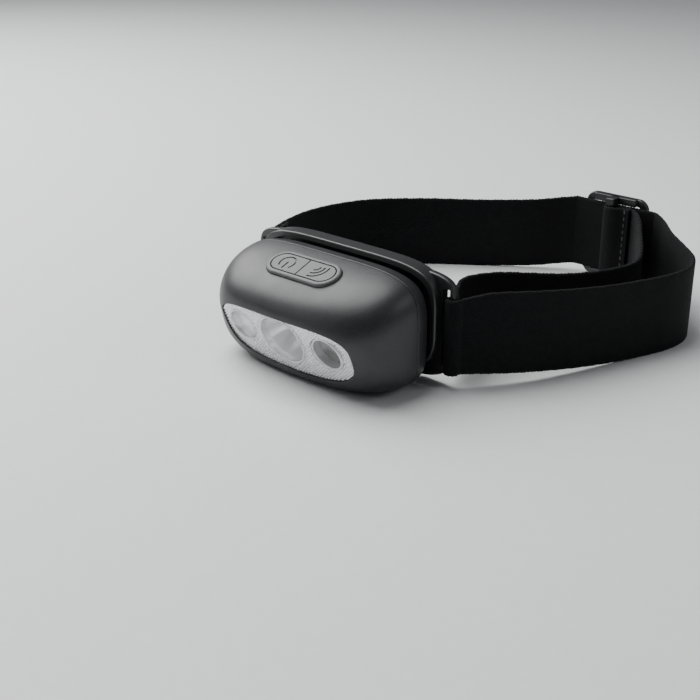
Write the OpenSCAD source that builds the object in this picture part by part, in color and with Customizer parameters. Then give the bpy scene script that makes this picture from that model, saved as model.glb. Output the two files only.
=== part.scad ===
// Rechargeable headlamp: a two-shell lamp that tilts on a bracket, worn on a 25 mm elastic strap.
// The origin is the middle of the flat underside of the lamp: +X is the wearer's left, which is
// the right-hand side seen from in front, +Y runs back towards the head and +Z is up.

/* [Lamp body] */
// Width of the lamp at the parting line
body_w = 69.8; // [69:0.2:70.6]
// Height of the lamp from its flat base to the crown of its top
body_h = 35.2; // [34.8:0.2:35.6]
// Wall thickness of both shells
wall = 1.6; // [1.4:0.1:1.8]
// Distance of the parting plane behind the origin
parting_y = 5.2; // [5:0.1:5.4]
// Distance of the lamp's back face behind the origin
back_y = 11.3; // [11.2:0.1:11.4]

/* [Lens] */
// Length of the lens
lens_l = 51; // [50:0.5:51.5]
// Height of the lens above the centre of the main beam, along its face
lens_up = 8.3; // [8.1:0.1:8.5]
// Height of the lens below the centre of the main beam, along its face
lens_down = 10.9; // [10.5:0.1:11.1]
// Tilt of the lens face, top edge forward
lens_tilt = 22; // [20:1:24]
// Height of the centre of the main beam
lens_z = 13.5; // [13.3:0.1:13.8]
// Thickness of the lens
lens_t = 1.5; // [1.3:0.1:1.6]

/* [Beams] */
// Radius of the main reflector's mouth
main_r = 8; // [7.7:0.1:8.1]
// Radius of the side lamp's reflector and of the sensor window
side_r = 5; // [4.6:0.1:5.2]
// Distance of the side lamp and of the sensor from the main beam
side_x = 17; // [16.5:0.5:17]

/* [Buttons] */
// Length of the raised rubber pad
pad_l = 26.8; // [26:0.2:27.2]
// Width of the raised rubber pad
pad_w = 10.6; // [10.2:0.2:11]
// Slope of the pad, front edge down
pad_slope = 20; // [19:0.5:21]
// How far a key goes down
key_travel = 0.5; // [0.3:0.1:0.6]

/* [Bracket] */
// Width of the bracket over its strap bars
bracket_w = 79.2; // [78.8:0.4:80]
// Height of the bracket's top edge above the base plane
bracket_h = 36.1; // [35.9:0.1:36.5]
// Radius of the hinge pin
pin_r = 1; // [0.8:0.1:1.1]

/* [Strap] */
// Width of the webbing
web_w = 25.4; // [25:0.1:25.6]
// Thickness of the webbing
web_t = 1.3; // [1.1:0.1:1.4]

/* [Hidden] */

// Places that more than one part shares
lens_y = -15;
lens_bow = 0.003;
lens_n_up = 3.56;
lens_n_down = 3.1;
body_n = 4.6;
body_mid_z = 15;
ring_points = 48;
rim_gap = 0.15;
rim_depth = 2.4;

pad_y = -5.2;
pad_z = 33.7;
key_gap = 0.25;
key_margin = 1.4;
key_h = 2.6;
plunger_l = 2;
switch_x = 6;
switch_top = -3.6;
switch_h = 3;
switch_bore = key_h + plunger_l + switch_top + key_travel + 0.3;
board_top = switch_top - switch_h;
board_t = 1;

cup_front = 2.6;
cup_depth = 8.4;

hinge_y = 12;
hinge_z = 3;
knuckle_r = 2.6;
knuckle_in = 13;
knuckle_mid = 19.9;
knuckle_out = 26;
plate_y = 15.4;
plate_t = 2.4;
frame_y = 12.2;
frame_l = plate_y + plate_t - frame_y;
frame_w = 35.2;
frame_t = 1.8;
frame_mid_z = 17;

bar_out = bracket_w / 2;
bar_w = 1.8;
slot_w = 2.6;
slot_z = 4.1;
slot_h = 26.1;
bar_x = bar_out - bar_w / 2;
bar_y = plate_y + 0.7;
web_z = 4.4;
turn_r = 1.85;

slide_y = 129;
slide_z = 2.8;
slider_x = 24;
slider_l = 24.5;
slider_bar = 2.6;
end_bar_y = 125.75;
end_bar_r = 0.9;
end_turn_r = 1.7;

cell_z = 4.4;
cell_h = 18;

screw_xs = [-27.5, 27.5];
screw_zs = [8.6, 27];
screw_r = 0.95;
boss_r = 2.4;
post_y = -1.5;
rib_l = 5.4;
rib_step = 0.8;
seal_room = 0.95;

port_y = 7.8;
port_z = 17;
port_w = 9;
port_t = 3.2;
flap_l = 13;
flap_w = 4.2;
flap_x = -34.3;
flap_t = 1.1;

// ---- Curves and closed skins ----

function signed_pow(v, p) = sign(v) * pow(abs(v), p);

// A point on a rounded box outline: half-widths a, up and down, and a power for each half
function outline(ang, a, up, down, n_up, n_down) =
    let (n = sin(ang) >= 0 ? n_up : n_down, b = sin(ang) >= 0 ? up : down)
    [a * signed_pow(cos(ang), 2 / n), b * signed_pow(sin(ang), 2 / n)];

function ring_angle(i) = 360 * (i + 0.5) / ring_points;

// A point in the lens face: across x, t up along the face and d behind it
function lens_point(x, t, d) = [
    x,
    lens_y + lens_bow * x * x - t * sin(lens_tilt) + d * cos(lens_tilt),
    lens_z + t * cos(lens_tilt) + d * sin(lens_tilt)];

// Depth of the flat LED board behind the bowed lens, at distance x from its middle
function board_depth(x) = cup_front + cup_depth + 0.1 - lens_bow * x * x * cos(lens_tilt);

function lens_rim(ang, grow, d) =
    let (p = outline(ang, lens_l / 2 + grow, lens_up + grow, lens_down + grow,
                     lens_n_up, lens_n_down))
    lens_point(p[0], p[1], d);

// The body's outline at depth y, set in by a margin and never below the base plane
function body_ring(ang, y, inset) =
    let (p = outline(ang, body_w / 2 - inset, body_h - body_mid_z - inset,
                     body_mid_z + 0.5 - inset, body_n, body_n))
    [p[0], y, max(body_mid_z + p[1], inset)];

function bezier(p0, p1, p2, p3, t) =
    pow(1 - t, 3) * p0 + 3 * pow(1 - t, 2) * t * p1 + 3 * (1 - t) * t * t * p2 + pow(t, 3) * p3;

// The front shell's surface from the lens opening (t = 0) back to the parting plane (t = 1)
function shell_point(ang, t, inset) =
    let (s = sin(ang), c = cos(ang),
         p0 = lens_rim(ang, rim_gap, inset > 0 ? rim_depth : 0),
         p3 = body_ring(ang, parting_y, inset),
         p1 = p0 + [4.2 * c, 0.2 + 1.2 * abs(c), (s > 0 ? 8 : 4.2) * s],
         p2 = p3 - [0, 10 + 3 * c * c - inset, s > 0 ? 1.4 * s : 0],
         p = bezier(p0, p1, p2, p3, t))
    [p[0], p[1], max(p[2], inset)];

// A closed skin over a list of rings, each with the same number of points
module skin(rings, tube = false) {
    n = len(rings[0]);
    k = len(rings);
    last = tube ? k - 1 : k - 2;
    sides = [for (r = [0:last], i = [0:n - 1])
        let (a = r * n, b = ((r + 1) % k) * n, j = (i + 1) % n)
        each [[a + i, a + j, b + i], [a + j, b + j, b + i]]];
    middles = tube ? [] : [mean(rings[0]), mean(rings[k - 1])];
    caps = tube ? [] : [for (i = [0:n - 1])
        let (j = (i + 1) % n, e = (k - 1) * n)
        each [[k * n, j, i], [k * n + 1, e + i, e + j]]];
    polyhedron([each [for (r = rings) each r], each middles], concat(sides, caps));
}

function mean(ring) = [for (c = [0:2]) sum([for (p = ring) p[c]]) / len(ring)];
function sum(v, i = 0) = i < len(v) ? v[i] + sum(v, i + 1) : 0;

// A smooth curve through points chosen by hand, leaving out its last point
function curve(p, steps) = [for (i = [0:len(p) - 2], s = [0:steps - 1])
    let (t = s / steps,
         a = p[max(i - 1, 0)], b = p[i], c = p[i + 1], d = p[min(i + 2, len(p) - 1)])
    0.5 * (2 * b + (c - a) * t + (2 * a - 5 * b + 4 * c - d) * t * t
           + (3 * b - 3 * c + d - a) * t * t * t)];

function turn(x, y, z, r, from, to, steps) = [for (s = [0:steps])
    let (ang = from + (to - from) * s / steps) [x + r * cos(ang), y + r * sin(ang), z]];

// Webbing on edge along a path of [x, y, height of its lower edge]
module webbing(path) {
    k = len(path);
    skin([for (i = [0:k - 1])
        let (p = path[i], q = path[min(i + 1, k - 1)] - path[max(i - 1, 0)],
             l = norm([q[0], q[1]]), nx = -q[1] / l * web_t / 2, ny = q[0] / l * web_t / 2)
        [[p[0] + nx, p[1] + ny, p[2]], [p[0] - nx, p[1] - ny, p[2]],
         [p[0] - nx, p[1] - ny, p[2] + web_w], [p[0] + nx, p[1] + ny, p[2] + web_w]]]);
}

// ---- Frames of reference ----

// Children stand on the lens face: their Z runs back into the lamp from the middle of a beam
module behind_lens(x) {
    translate(lens_point(x, 0, 0)) rotate([lens_tilt - 90, 0, 0]) children();
}

// Children lie on the pad: their Z is the way a key rises
module on_pad() {
    translate([0, pad_y, pad_z]) rotate([pad_slope, 0, 0]) children();
}

module along_y(x, y, z) {
    translate([x, y, z]) rotate([-90, 0, 0]) children();
}

module along_x(x, y, z) {
    translate([x, y, z]) rotate([0, 90, 0]) children();
}

module stadium(l, w) {
    for (s = [-1, 1]) translate([s * (l - w) / 2, 0]) circle(d = w, $fn = 48);
    square([l - w, w], center = true);
}

module tube(r_out, r_in, h) {
    difference() {
        cylinder(r = r_out, h = h, $fn = 48);
        translate([0, 0, -1]) cylinder(r = r_in, h = h + 2, $fn = 48);
    }
}

module lens_plate(grow, d0, d1) {
    rings = [for (k = [[0.02, d0], [0.35, d0], [0.7, d0], [1, d0], [1, d1], [0.7, d1],
                       [0.35, d1], [0.02, d1]])
        [for (i = [0:ring_points - 1])
            let (p = outline(ring_angle(i), lens_l / 2 + grow, lens_up + grow,
                             lens_down + grow, lens_n_up, lens_n_down))
            lens_point(k[0] * p[0], k[0] * p[1], k[1])]];
    skin(rings);
}

// ---- Lamp casing ----

module front_shell() {
    steps = 9;
    outer = [for (k = [0:steps]) [for (i = [0:ring_points - 1])
        shell_point(ring_angle(i), k / steps, 0)]];
    inner = [for (k = [steps:-1:0]) [for (i = [0:ring_points - 1])
        shell_point(ring_angle(i), k / steps, wall)]];
    color("#2b2d2f") difference() {
        union() {
            skin(concat(outer, inner), tube = true);
            screw_posts();
        }
        on_pad() translate([0, 0, -6]) linear_extrude(12) stadium(pad_l + 0.3, pad_w + 0.3);
        for (x = screw_xs, z = screw_zs)
            along_y(x, post_y + 0.8, z) cylinder(r = screw_r + 0.05, h = parting_y, $fn = 32);
    }
}

// Posts that the case screws bite into, with a rib out to the side wall
module screw_posts() {
    h = parting_y - seal_room - post_y;
    for (x = screw_xs, z = screw_zs) {
        along_y(x, post_y, z) cylinder(r = boss_r, h = h, $fn = 32);
        translate([x > 0 ? x : x - rib_l, post_y + rib_step, z - 0.7])
            cube([rib_l, h - rib_step, 1.4]);
    }
}

module rear_shell() {
    rims = [[parting_y + 0.05, 0], [back_y - 2.4, 0.5], [back_y - 0.9, 1.1], [back_y, 2.4]];
    hollow = [[parting_y - 1, wall], [back_y - 2.6, wall + 0.4], [back_y - wall, wall + 1.4]];
    color("#232527") difference() {
        union() {
            difference() {
                rear_solid(rims);
                rear_solid(hollow);
            }
            intersection() {
                rear_solid(rims);
                for (x = [-knuckle_out - 1.5, knuckle_mid - 1.5]) translate([x, back_y - 3.6, 0])
                    cube([knuckle_out - knuckle_mid + 3, 3.6, hinge_z + knuckle_r + 1.6]);
            }
            for (x = screw_xs, z = screw_zs)
                along_y(x, parting_y + seal_room, z)
                    cylinder(r = boss_r, h = back_y - parting_y - seal_room - 0.5, $fn = 32);
            for (s = [-1, 1]) lamp_knuckle(s);
            translate([flap_x + 0.6, parting_y + seal_room, port_z - flap_l / 2 - 1])
                cube([2, back_y - parting_y - seal_room - 1, flap_l + 2]);
        }
        for (x = screw_xs, z = screw_zs) {
            along_y(x, parting_y - 1, z) cylinder(r = screw_r + 0.15, h = 8, $fn = 32);
            along_y(x, back_y - 1.3, z) cylinder(r = 2, h = 3, $fn = 32);
        }
        along_x(-knuckle_out - 2, hinge_y, hinge_z) cylinder(r = pin_r + 0.05, h = 60, $fn = 32);
        for (s = [-1, 1])
            along_x(s > 0 ? knuckle_mid : -knuckle_out - 0.3, hinge_y, hinge_z)
                cylinder(r = knuckle_r + 0.4, h = knuckle_out - knuckle_mid + 0.3, $fn = 48);
        usb_recess();
    }
}

module rear_solid(sections) {
    skin([for (r = sections) [for (i = [0:ring_points - 1])
        body_ring(ring_angle(i), r[0], r[1])]]);
}

module lamp_knuckle(side) {
    w = knuckle_mid - 0.1 - knuckle_in;
    x = side > 0 ? knuckle_in : -knuckle_in - w;
    along_x(x, hinge_y, hinge_z) cylinder(r = knuckle_r, h = w, $fn = 48);
    translate([x, back_y - 1.5, hinge_z - 2.2]) cube([w, hinge_y - back_y + 1.5, 4.4]);
}

// The charging port's mouth and the shallow seat of its flap
module usb_recess() {
    translate([flap_x - 3, port_y, port_z]) rotate([0, 90, 0]) linear_extrude(6)
        stadium(port_w + 0.4, port_t + 0.3);
    translate([flap_x - 3, port_y, port_z]) rotate([0, 90, 0])
        linear_extrude(3 + flap_t + 0.1) stadium(flap_l + 0.4, flap_w + 0.4);
}

module case_seal() {
    sections = [[parting_y - 0.8, wall + 0.15], [parting_y + 0.8, wall + 0.15],
                [parting_y + 0.8, wall + 0.9], [parting_y - 0.8, wall + 0.9]];
    color("#54565a") skin([for (r = sections) [for (i = [0:ring_points - 1])
        body_ring(ring_angle(i), r[0], r[1])]], tube = true);
}

module case_screws() {
    color("silver") for (x = screw_xs, z = screw_zs) difference() {
        union() {
            along_y(x, post_y + 1, z)
                cylinder(r = screw_r, h = back_y - 1.2 - post_y - 1, $fn = 32);
            along_y(x, back_y - 1.25, z) cylinder(r = 1.85, h = 1.1, $fn = 32);
        }
        for (turned = [0, 90]) along_y(x, back_y - 0.8, z) rotate([0, 0, turned])
            translate([-1.1, -0.25, 0]) cube([2.2, 0.5, 2]);
    }
}

// ---- Optics ----

module lens_cover() {
    color([0.85, 0.9, 0.92, 0.5]) lens_plate(0, 0.3, 0.3 + lens_t);
}

module reflector_plate() {
    color("gainsboro") difference() {
        lens_plate(-0.4, 1.9, 2.5);
        behind_lens(0) cylinder(r = main_r + 0.75, h = 8, $fn = 64);
        for (x = [-side_x, side_x]) behind_lens(x) cylinder(r = side_r + 0.75, h = 8, $fn = 64);
    }
}

// A bell-shaped cup, mouth at the front and a hole for the light source at the back
module cup(mouth_r, throat_r, depth, skin_t) {
    steps = 10;
    function cup_r(h) = sqrt(throat_r * throat_r
                             + (mouth_r * mouth_r - throat_r * throat_r) * (1 - h / depth));
    inside = [for (k = [0:steps]) [cup_r(depth * k / steps), depth * k / steps]];
    outside = [for (k = [steps:-1:0]) [cup_r(depth * k / steps) + skin_t, depth * k / steps]];
    rotate_extrude($fn = 64) polygon(concat(inside, outside));
}

module main_reflector() {
    color("silver") behind_lens(0) translate([0, 0, cup_front]) cup(main_r, 2.4, cup_depth, 0.6);
}

module side_reflector() {
    color("silver") behind_lens(-side_x) translate([0, 0, cup_front])
        cup(side_r, 2.2, board_depth(side_x) - cup_front - 0.1, 0.6);
}

// A round well with a wall down the middle that keeps the emitter's light off the receiver
module sensor_holder() {
    h = board_depth(side_x) - cup_front - 0.1;
    color("#1d1e20") behind_lens(side_x) translate([0, 0, cup_front]) {
        tube(side_r + 0.6, side_r, h);
        translate([-0.4, -side_r - 0.2, 2.4]) cube([0.8, 2 * side_r + 0.4, h - 2.4]);
    }
}

module sensor_window() {
    color("#303438") behind_lens(side_x) translate([0, 0, cup_front + 0.4])
        cylinder(r = side_r - 0.05, h = 1.2, $fn = 48);
}

// A light source on its square carrier, standing on the LED board with its dome forward
module light_chip(x, size, dome_r) {
    behind_lens(x) translate([0, 0, board_depth(x)]) {
        translate([-size / 2, -size / 2, -0.8]) cube([size, size, 0.8]);
        translate([0, 0, -0.8]) difference() {
            sphere(r = dome_r, $fn = 32);
            translate([-3, -3, 0]) cube([6, 6, 6]);
        }
    }
}

module main_led() {
    color("lemonchiffon") light_chip(0, 3.2, 1.4);
}

module side_led() {
    color("lemonchiffon") light_chip(-side_x, 2.8, 1.1);
}

// A small domed infra-red part: a can on the board with a round nose
module ir_part(x) {
    can_h = 3.4;
    behind_lens(x) translate([0, 0, board_depth(x) - can_h]) {
        sphere(r = 1.4, $fn = 32);
        cylinder(r = 1.4, h = can_h, $fn = 32);
    }
}

module ir_emitter() {
    color("lightsteelblue") ir_part(side_x - 2.4);
}

module ir_receiver() {
    color("#202028") ir_part(side_x + 2.4);
}

module led_board() {
    color("darkgreen") behind_lens(0) translate([-22.5, -5, board_depth(0) + 0.05])
        cube([45, 10.5, board_t]);
}

// ---- Electronics ----

module main_board() {
    color("darkgreen") on_pad() translate([-17, -6.5, board_top - board_t - 0.02])
        cube([34, 15.5, board_t]);
}

module tact_switches() {
    color("#8a8d90") on_pad() for (x = [-switch_x, switch_x]) difference() {
        translate([x - 3, -3, board_top]) cube([6, 6, switch_h]);
        translate([x, 0, switch_top - switch_bore]) cylinder(r = 1.85, h = 4, $fn = 32);
    }
}

module plunger(x) {
    on_pad() translate([x, 0, -key_h - plunger_l]) cylinder(r = 1.7, h = plunger_l, $fn = 32);
}

module power_plunger() {
    color("white") plunger(-switch_x);
}

module sensor_plunger() {
    color("white") plunger(switch_x);
}

module battery_cell() {
    color("lightslategray") translate([-15, 1.2, cell_z]) cube([33, 8, cell_h]);
}

// Red and black leads from the cell up to the control board
module battery_leads() {
    for (x = [-4, 0]) color(x < -2 ? "firebrick" : "#202020")
        translate([x, 2.4, cell_z + cell_h]) cylinder(r = 0.6, h = 4.8, $fn = 24);
}

module charge_board() {
    color("darkgreen") translate([flap_x + 2.9, parting_y - 0.3, 10.2]) cube([14.5, board_t, 13.6]);
}

module usb_socket() {
    front_x = flap_x + 1.9;
    color("silver") difference() {
        translate([front_x, port_y, port_z]) rotate([0, 90, 0]) linear_extrude(7.4)
            stadium(port_w, port_t);
        translate([front_x - 1, port_y, port_z]) rotate([0, 90, 0]) linear_extrude(6.4)
            stadium(port_w - 0.6, port_t - 0.6);
    }
    color("#202020") translate([front_x + 1, port_y - 0.35, port_z - 3.3])
        cube([5, 0.7, 6.6]);
}

module usb_flap() {
    color("#1f2123") {
        translate([flap_x, port_y, port_z]) rotate([0, 90, 0]) linear_extrude(flap_t)
            stadium(flap_l, flap_w);
        translate([flap_x, port_y, port_z]) rotate([0, 90, 0]) linear_extrude(flap_t + 0.7)
            stadium(port_w - 0.2, port_t - 0.4);
    }
}

// ---- Buttons ----

// One key's outline: half of the stadium inside the pad's rim
module key_outline(side) {
    l = pad_l - 2 * key_margin - 2 * key_gap;
    w = pad_w - 2 * key_margin - 2 * key_gap;
    intersection() {
        stadium(l, w);
        translate([side > 0 ? key_gap / 2 : -l, -w]) square([l - key_gap / 2, 2 * w]);
    }
}

module button_pad() {
    color("#6c7072") on_pad() difference() {
        union() {
            translate([0, 0, -3.2]) linear_extrude(3.2) stadium(pad_l, pad_w);
            translate([0, 0, -3.9]) linear_extrude(0.7) stadium(pad_l + 2.4, pad_w + 2.4);
        }
        translate([0, 0, -5]) linear_extrude(6)
            stadium(pad_l - 2 * key_margin, pad_w - 2 * key_margin);
    }
}

module key(side) {
    on_pad() translate([0, 0, -key_h]) linear_extrude(key_h) key_outline(side);
}

module power_key() {
    color("#747879") key(-1);
}

module sensor_key() {
    color("#747879") key(1);
}

// ---- Hinge and bracket ----

module hinge_pin() {
    color("silver") along_x(-knuckle_out - 0.4, hinge_y, hinge_z)
        cylinder(r = pin_r, h = 2 * knuckle_out + 0.8, $fn = 32);
}

function face_ring(a, up, down, n_up, n_down) = [for (i = [0:95])
    outline(360 * (i + 0.5) / 96, a, up, down, n_up, n_down)];

// The bracket seen from in front: a tray with an ear at each end
module tray_outline(inset) {
    translate([0, frame_mid_z])
        polygon(face_ring(frame_w - inset, bracket_h - frame_mid_z - inset,
                          frame_mid_z - 0.8 - inset, 5, 2.8));
}

module ears_outline() {
    translate([0, frame_mid_z]) polygon(face_ring(bar_out, 17.3, frame_mid_z - 0.4, 8, 4.5));
}

module slab(y, depth) {
    translate([0, y + depth, 0]) rotate([90, 0, 0]) linear_extrude(depth) children();
}

module bracket() {
    color("#1b1c1e") difference() {
        union() {
            difference() {
                union() {
                    slab(plate_y, plate_t) {
                        tray_outline(0);
                        ears_outline();
                    }
                    slab(frame_y, frame_l) difference() {
                        tray_outline(0);
                        tray_outline(frame_t);
                    }
                }
                translate([-knuckle_out - 1, frame_y - 1, -1])
                    cube([2 * knuckle_out + 2, frame_l + 2, 1 + hinge_z + knuckle_r + 0.5]);
            }
            for (s = [-1, 1]) bracket_knuckle(s);
        }
        for (s = [-1, 1])
            translate([s * (bar_out - bar_w - slot_w / 2) - slot_w / 2, frame_y - 1, slot_z])
                cube([slot_w, frame_l + 2, slot_h]);
        along_x(-knuckle_out - 2, hinge_y, hinge_z) cylinder(r = pin_r + 0.02, h = 60, $fn = 32);
    }
}

module bracket_knuckle(side) {
    w = knuckle_out - knuckle_mid - 0.1;
    x = side > 0 ? knuckle_mid + 0.1 : -knuckle_out;
    along_x(x, hinge_y, hinge_z) cylinder(r = knuckle_r, h = w, $fn = 48);
    translate([x, hinge_y, hinge_z - 1]) cube([w, plate_y + plate_t - hinge_y, 5.5]);
}

// ---- Strap ----

// The run from the cut end of the sewn loop to the left bar
loop_run = [[-45.6, 34.6, 3.4], [-42.6, 27.9, 3.8], [-39.4, 22.6, 4.2], [-37.2, 19.6, 4.4],
            [-36.85, 17.2, 4.4]];
// The far run, from the left bar round the back of the head to the slider
far_run = [[-40.55, 17.4, 4.4], [-42.3, 22.2, 4.1], [-45.6, 30.2, 3.6], [-50.8, 41.5, 2.4],
           [-55, 55.5, 1.2], [-55, 70, 0.4], [-50, 84, 0], [-36, 98, 0], [-20, 110, 0],
           [-5, 120.6, 0.7], [3, 126.4, 1.8], [8.5, 129, 2.8]];
// The near run, from the slider to the right bar
near_run = [[40, 129, 2.8], [45, 125.6, 1.8], [51.8, 118.6, 0.6], [60.6, 110.6, 0.1],
            [68.2, 102.4, 0], [72, 93.4, 0], [71.6, 84, 0], [68.6, 74.5, 0], [63.6, 60, 0.6],
            [57.4, 45, 1.8], [50.3, 31, 3.2], [44, 21.8, 4.1], [40.55, 17.4, 4.4]];
// The inner run, from the slider's sewn end back to the right bar
tail_run = [[32.3, 127.1, 2.8], [36, 123.6, 2.6], [40.5, 117.5, 2], [45, 110, 1.2],
            [53, 96.5, 0.3], [57, 86, 0], [55.5, 76, 0], [51.5, 67, 0], [46, 59, 0.3],
            [40, 52, 1], [34.4, 44, 2], [32, 35, 3], [33, 27, 4], [36.4, 20.2, 4.4]];
// The cut end of the webbing, folded back against the sewn end on the slider
end_run = [[31.6, 125.85, 2.8], [29, 125.7, 2.8], [26.6, 124.5, 2.8], [25.2, 124.05, 2.8],
           [slider_x, end_bar_y - end_turn_r, 2.8]];

module strap() {
    color("#121214") webbing(concat(
        curve(loop_run, 5),
        turn(-bar_x, bar_y, web_z, turn_r, 0, -180, 10),
        curve(far_run, 7), curve([far_run[11], near_run[0]], 4),
        curve(near_run, 7),
        turn(bar_x, bar_y, web_z, turn_r, 0, -180, 10),
        [[bar_x - turn_r, plate_y + plate_t, web_z], [bar_x - turn_r, 19.4, web_z]]));
}

module strap_tail() {
    color("#121214") webbing(concat(curve(tail_run, 6), [tail_run[13]]));
}

module strap_end() {
    color("#121214") webbing(concat(
        curve(end_run, 4),
        turn(slider_x, end_bar_y, slide_z, end_turn_r, 270, 90, 10),
        [[28, end_bar_y + end_turn_r, slide_z], [31.6, end_bar_y + end_turn_r, slide_z]]));
}

// Thread bars through two layers of webbing, in one upright row
module stitch_row(x, y, z, heading, depth) {
    for (k = [0:9]) translate([x, y, z + 1.8 + k * 2.4]) rotate([0, 0, heading])
        translate([-depth / 2, -0.3, 0]) cube([depth, 0.6, 1.6]);
}

module loop_stitches() {
    color("#26262a") stitch_row(-45.4, 31.9, 3.6, 24, 3.7);
}

module end_stitches() {
    color("#26262a") stitch_row(30, 126.65, slide_z, 90, 3.1);
}

// ---- Slider ----

module slider() {
    x0 = slider_x - slider_l / 2;
    outer_y = slide_y + web_t / 2 + 0.2;
    h = slide_z * 2 + web_w;
    window_z = slider_bar;
    window_h = h - 2 * slider_bar;
    color("#19191b") difference() {
        union() {
            translate([slider_x, outer_y + 2.05, h / 2]) rotate([90, 0, 0])
                linear_extrude(2.05) rounded_box(slider_l, h, 4);
            for (z = [0, h - slider_bar]) {
                translate([x0 + 4, slide_y - 0.6, z])
                    cube([slider_l - 8, outer_y - slide_y + 0.7, slider_bar]);
                translate([slider_x - 1.6, end_bar_y - end_bar_r, z])
                    cube([3.2, slide_y - end_bar_y + 1, slider_bar]);
            }
            translate([slider_x, end_bar_y, 0]) cylinder(r = end_bar_r, h = h, $fn = 32);
            translate([slider_x, end_bar_y - end_bar_r, 0]) cube([1.2, 2 * end_bar_r, h]);
        }
        translate([x0 + 2.8, outer_y - 0.5, window_z]) cube([slider_l - 5.6, 4, window_h]);
    }
}

module rounded_box(w, h, r) {
    for (x = [-1, 1], y = [-1, 1])
        translate([x * (w / 2 - r), y * (h / 2 - r)]) circle(r = r, $fn = 48);
    square([w - 2 * r, h], center = true);
    square([w, h - 2 * r], center = true);
}

front_shell();
rear_shell();
lens_cover();
reflector_plate();
main_reflector();
side_reflector();
sensor_holder();
sensor_window();
main_led();
side_led();
ir_emitter();
ir_receiver();
led_board();
main_board();
tact_switches();
power_plunger();
sensor_plunger();
button_pad();
power_key();
sensor_key();
battery_cell();
battery_leads();
charge_board();
usb_socket();
usb_flap();
case_seal();
case_screws();
hinge_pin();
bracket();
strap();
strap_tail();
strap_end();
slider();
loop_stitches();
end_stitches();
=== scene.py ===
import math

import bpy
from mathutils import Matrix, Vector


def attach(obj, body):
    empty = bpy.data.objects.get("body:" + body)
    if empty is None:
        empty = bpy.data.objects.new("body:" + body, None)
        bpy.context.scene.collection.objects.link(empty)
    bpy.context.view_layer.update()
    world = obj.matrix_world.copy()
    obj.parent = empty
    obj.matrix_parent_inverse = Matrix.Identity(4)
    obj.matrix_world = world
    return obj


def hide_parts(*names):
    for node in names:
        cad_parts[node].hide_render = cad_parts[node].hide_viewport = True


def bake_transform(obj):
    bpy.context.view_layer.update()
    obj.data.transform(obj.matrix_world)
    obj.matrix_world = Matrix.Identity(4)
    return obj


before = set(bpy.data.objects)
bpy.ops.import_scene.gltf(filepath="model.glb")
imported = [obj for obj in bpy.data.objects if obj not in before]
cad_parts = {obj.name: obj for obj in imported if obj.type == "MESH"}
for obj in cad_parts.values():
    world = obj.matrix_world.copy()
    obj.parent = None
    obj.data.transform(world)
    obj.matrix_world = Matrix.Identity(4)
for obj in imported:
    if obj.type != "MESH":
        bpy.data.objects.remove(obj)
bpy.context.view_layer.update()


# ---- Camera, floor and lights ----
# The headlamp stands on a plain pale table, seen from the corner of the lamp and a little above.
# A broad soft light hangs behind it and a weaker one in front, as in a small product studio.
AZIMUTH, ELEVATION = math.radians(42), math.radians(23.15)
CAMERA_PLACE, FOCAL_LENGTH = (0.23059, -0.24101, 0.14852), 61.97
FLOOR_SIZE, ROOM_LIGHT = 8, 0.13

camera_data = bpy.data.cameras.new("camera")
camera_data.lens = FOCAL_LENGTH
camera_data.sensor_width = 36
camera_data.clip_start = 0.02
camera = bpy.data.objects.new("camera", camera_data)
camera.location = CAMERA_PLACE
camera.rotation_euler = (math.pi / 2 - ELEVATION, 0, AZIMUTH)
bpy.context.collection.objects.link(camera)
bpy.context.scene.camera = camera

bpy.ops.mesh.primitive_plane_add(size=FLOOR_SIZE, location=(0, 0, 0))
floor = bpy.context.active_object
floor.name = "floor"

lights = [  # name, place, aim, width, height, watts
    ("top_light", (-0.40, 0.02, 0.57), (0.0, 0.0, 0.0), 0.56, 1.0, 11.5),
    ("side_light", (0.55, 0.30, 0.42), (0.03, 0.05, 0.0), 0.3, 0.3, 0.6),
    ("front_light", (-0.42, -0.60, 0.34), (0.0, 0.0, 0.01), 0.4, 0.3, 0.35),
]
for name, place, aim, width, height, watts in lights:
    light = bpy.data.lights.new(name, "AREA")
    light.shape = "RECTANGLE"
    light.size, light.size_y, light.energy = width, height, watts
    lamp = bpy.data.objects.new(name, light)
    lamp.location = place
    lamp.rotation_euler = (Vector(place) - Vector(aim)).to_track_quat("Z", "Y").to_euler()
    bpy.context.collection.objects.link(lamp)

world = bpy.data.worlds.new("room")
bpy.context.scene.world = world
world.use_nodes = True
world.node_tree.nodes["Background"].inputs["Color"].default_value = (0.86, 0.9, 0.94, 1)
world.node_tree.nodes["Background"].inputs["Strength"].default_value = ROOM_LIGHT


def new_material(name, colour, roughness, **sockets):
    """A named material: its node tree, its shader and a texture coordinate node."""
    material = bpy.data.materials.new(name)
    material.use_nodes = True
    tree = material.node_tree
    shader = tree.nodes["Principled BSDF"]
    shader.inputs["Base Color"].default_value = (*colour, 1)
    shader.inputs["Roughness"].default_value = roughness
    for socket, value in sockets.items():
        shader.inputs[socket.replace("_", " ")].default_value = value
    return material, tree, shader, tree.nodes.new("ShaderNodeTexCoord")


def grain(tree, source, size, detail=3.0):
    """Noise whose grains are about size metres across."""
    noise = tree.nodes.new("ShaderNodeTexNoise")
    noise.inputs["Scale"].default_value = 1 / size
    noise.inputs["Detail"].default_value = detail
    tree.links.new(source, noise.inputs["Vector"])
    return noise.outputs["Fac"]


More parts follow.
